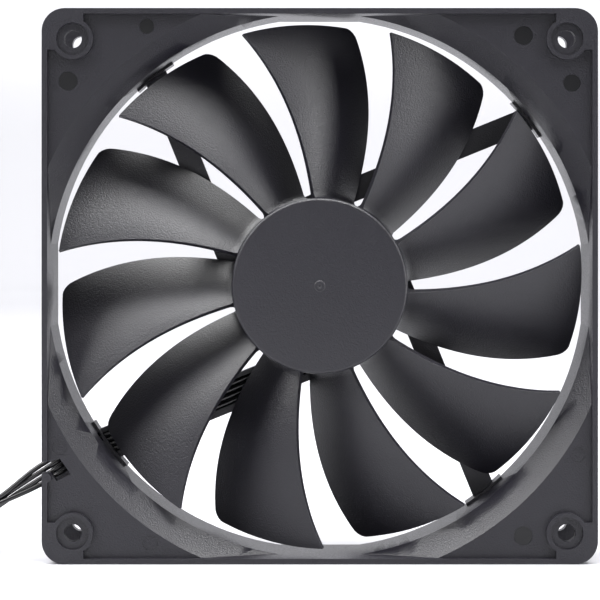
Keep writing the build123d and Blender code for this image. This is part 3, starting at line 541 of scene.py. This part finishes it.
def shapeBlade(co):
    # from the grid's own place (along the chord, out along the span, which side) to the blade's
    spanShare = co.y + 0.5
    # closer rows at the root, for its fillet, and at the tip, for the rounded corner
    swing = math.cos(math.pi * spanShare)
    spanShare = 0.5 - 0.5 * swing * (1 - blade["rowBunching"] + blade["rowBunching"] * abs(swing))
    root = hub["radius"] - blade["rootSunk"]
    radius = root + (blade["tip"] - root) * spanShare
    reach = 1.0
    fromTip = blade["tip"] - radius
    if fromTip < blade["tailCorner"]:
        chord = math.radians(blade["chordAngle"]) * blade["tip"]
        corner = blade["tailCorner"]
        reach -= (corner - math.sqrt(corner**2 - (corner - fromTip) ** 2)) / chord
    share = (co.x + 0.5) * reach
    here = bladePlace(share, radius)
    alongChord = bladePlace(share + 0.01, radius) - bladePlace(share - 0.01, radius)
    outwards = bladePlace(share, radius + 0.1) - bladePlace(share, radius - 0.1)
    across = alongChord.cross(outwards).normalized()
    half = blade["thickness"] / 2 * (1 - blade["taper"] * share * share)
    fillet = blade["rootFillet"]
    fromHub = min(fillet, max(0, radius - hub["radius"]))
    half += fillet - math.sqrt(fillet**2 - (fillet - fromHub) ** 2)
    return here + across * (co.z * half * mm)


def addBlades(work):
    one = bmesh.new()
    bmesh.ops.create_grid(one, x_segments=blade["chordCells"], y_segments=blade["spanCells"], size=0.5)
    bmesh.ops.translate(one, verts=one.verts, vec=(0, 0, -1))
    grown = bmesh.ops.extrude_face_region(one, geom=one.faces[:] + one.edges[:] + one.verts[:])
    lifted = [part for part in grown["geom"] if isinstance(part, bmesh.types.BMVert)]
    bmesh.ops.translate(one, verts=lifted, vec=(0, 0, 2))
    for vertex in one.verts:
        vertex.co = shapeBlade(vertex.co)
    bmesh.ops.recalc_face_normals(one, faces=one.faces)
    bmesh.ops.spin(one, geom=one.verts[:] + one.edges[:] + one.faces[:], cent=fromFront(0, 0, 0),
                   axis=(0, 1, 0), dvec=(0, 0, 0), angle=2 * math.pi * (1 - 1 / blade["count"]),
                   steps=blade["count"] - 1, use_duplicate=True)
    bladeMesh = bpy.data.meshes.new("blades")
    one.to_mesh(bladeMesh)
    one.free()
    work.from_mesh(bladeMesh)


work = bmesh.new()
addHub(work)
addBlades(work)
bmesh.ops.recalc_face_normals(work, faces=work.faces)
impellerMesh = bpy.data.meshes.new("fanImpeller")
work.to_mesh(impellerMesh)
work.free()
smoothByAngle(impellerMesh, 35)
fanImpeller = newObject("fanImpeller", impellerMesh)
addBevel(fanImpeller, blade["edge"], segments=3)
fanImpeller.data.materials.append(framePlastic)
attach(fanImpeller, "rotor")
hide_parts("impeller")

print("frame")


frameShell = finishedCopy("frame", "frameShell", framePlastic, 0.18)

# thin dark discs laid on the floors of the ejector pins' recesses: painted shade, because the shallow recess
# alone barely darkens
ejectorMarks = {
    "halfSide": 70, "floorDepth": 1.5, "recess": 0.25, "thickness": 0.08, "clearance": 0.12, "segments": 40,
    # which corner (right, up), how far in from its side and its end, and the mark's radius
    "places": [(-1, 1, 6.5, 18.3, 2.4), (-1, 1, 26.4, 4.5, 1.9), (1, 1, 18.6, 6.8, 2.4),
               (1, 1, 6.4, 18.8, 2.2), (1, -1, 18.7, 7.0, 2.4)],
}
marks = bmesh.new()
for right, up, sideInset, endInset, radius in ejectorMarks["places"]:
    discRadius = (radius - ejectorMarks["clearance"]) * mm
    made = bmesh.ops.create_cone(marks, cap_ends=True, segments=ejectorMarks["segments"], radius1=discRadius,
                                 radius2=discRadius, depth=ejectorMarks["thickness"] * mm)
    bmesh.ops.rotate(marks, verts=made["verts"], matrix=Euler((math.pi / 2, 0, 0)).to_matrix())
    depth = ejectorMarks["floorDepth"] + ejectorMarks["recess"] - ejectorMarks["thickness"] / 2
    toRight = right * (ejectorMarks["halfSide"] - sideInset)
    upwards = up * (ejectorMarks["halfSide"] - endInset)
    bmesh.ops.translate(marks, verts=made["verts"], vec=fromFront(toRight, upwards, depth))
marksMesh = bpy.data.meshes.new("pinMarkPaintedShade")
marks.to_mesh(marksMesh)
marks.free()
smoothByAngle(marksMesh, 30)
pinMarkPaintedShade = newObject("pinMarkPaintedShade", marksMesh)
pinMarkPaintedShade.data.materials.append(pinPolishAndShade)
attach(pinMarkPaintedShade, "housing")

print("floor and light")

# a pale board that runs on into the backdrop, in metres
stage = {"front": -1.6, "back": 2.2, "halfWidth": 2.5, "height": 2.5, "bendRadius": 0.6, "bendCells": 8}

floorMaterial = newMaterial("matWhiteBoard", **{
    "Roughness": 0.35, "IOR": 1.45, "Base Color": toLinear("#b2b2b6")})[0]
sweep = bmesh.new()
corners = [(stage["front"], 0), (stage["back"] - stage["bendRadius"], 0)]
for number in range(1, stage["bendCells"] + 1):
    around = math.radians(90 * number / stage["bendCells"])
    corners.append((stage["back"] - stage["bendRadius"] * (1 - math.sin(around)),
                    stage["bendRadius"] * (1 - math.cos(around))))
corners.append((stage["back"], stage["height"]))
line = [sweep.verts.new((-stage["halfWidth"], y, z)) for y, z in corners]
edges = [sweep.edges.new(pair) for pair in zip(line, line[1:])]
grown = bmesh.ops.extrude_edge_only(sweep, edges=edges)
moved = [part for part in grown["geom"] if isinstance(part, bmesh.types.BMVert)]
bmesh.ops.translate(sweep, verts=moved, vec=(2 * stage["halfWidth"], 0, 0))
bmesh.ops.recalc_face_normals(sweep, faces=sweep.faces)
floorMesh = bpy.data.meshes.new("studioFloor")
sweep.to_mesh(floorMesh)
sweep.free()
floorMesh.shade_smooth()
studioFloor = newObject("studioFloor", floorMesh)
studioFloor.data.materials.append(floorMaterial)


def addSoftbox(name, place, target, size, power):
    data = bpy.data.lights.new(name, "AREA")
    data.shape = "RECTANGLE"
    data.size, data.size_y = size
    data.energy = power
    box = newObject(name, data)
    box.location = Vector(place)
    box.rotation_mode = "QUATERNION"
    box.rotation_quaternion = (Vector(target) - Vector(place)).to_track_quat("-Z", "Y")
    return box


# place and aim in metres, size in metres, and power in watts
softboxes = {
    "overheadSoftbox": ((-0.05, -0.15, 0.85), (0, 0, 0.05), (1.3, 0.5), 27),
    "leftHighSoftbox": ((-0.75, -0.3, 0.65), (0, 0, 0.07), (0.5, 0.5), 8.5),
    "rightSoftbox": ((1.1, -0.4, 0.35), (0, 0, 0.07), (0.5, 0.7), 10),
    "frontFill": ((-0.5, -1.6, 0.7), (0, 0, 0.07), (1.0, 1.0), 2.5),
    "backdropLight": ((0, 1.0, 1.9), (0, 1.6, 0.2), (2.4, 1.0), 80),
}
for name, (place, target, size, power) in softboxes.items():
    addSoftbox(name, place, target, size, power)

world = bpy.data.worlds.new("studio")
world.use_nodes = True
world.node_tree.nodes["Background"].inputs["Color"].default_value = toLinear("#ffffff")
world.node_tree.nodes["Background"].inputs["Strength"].default_value = 0.08
scene.world = world
scene.view_settings.view_transform = "Standard"
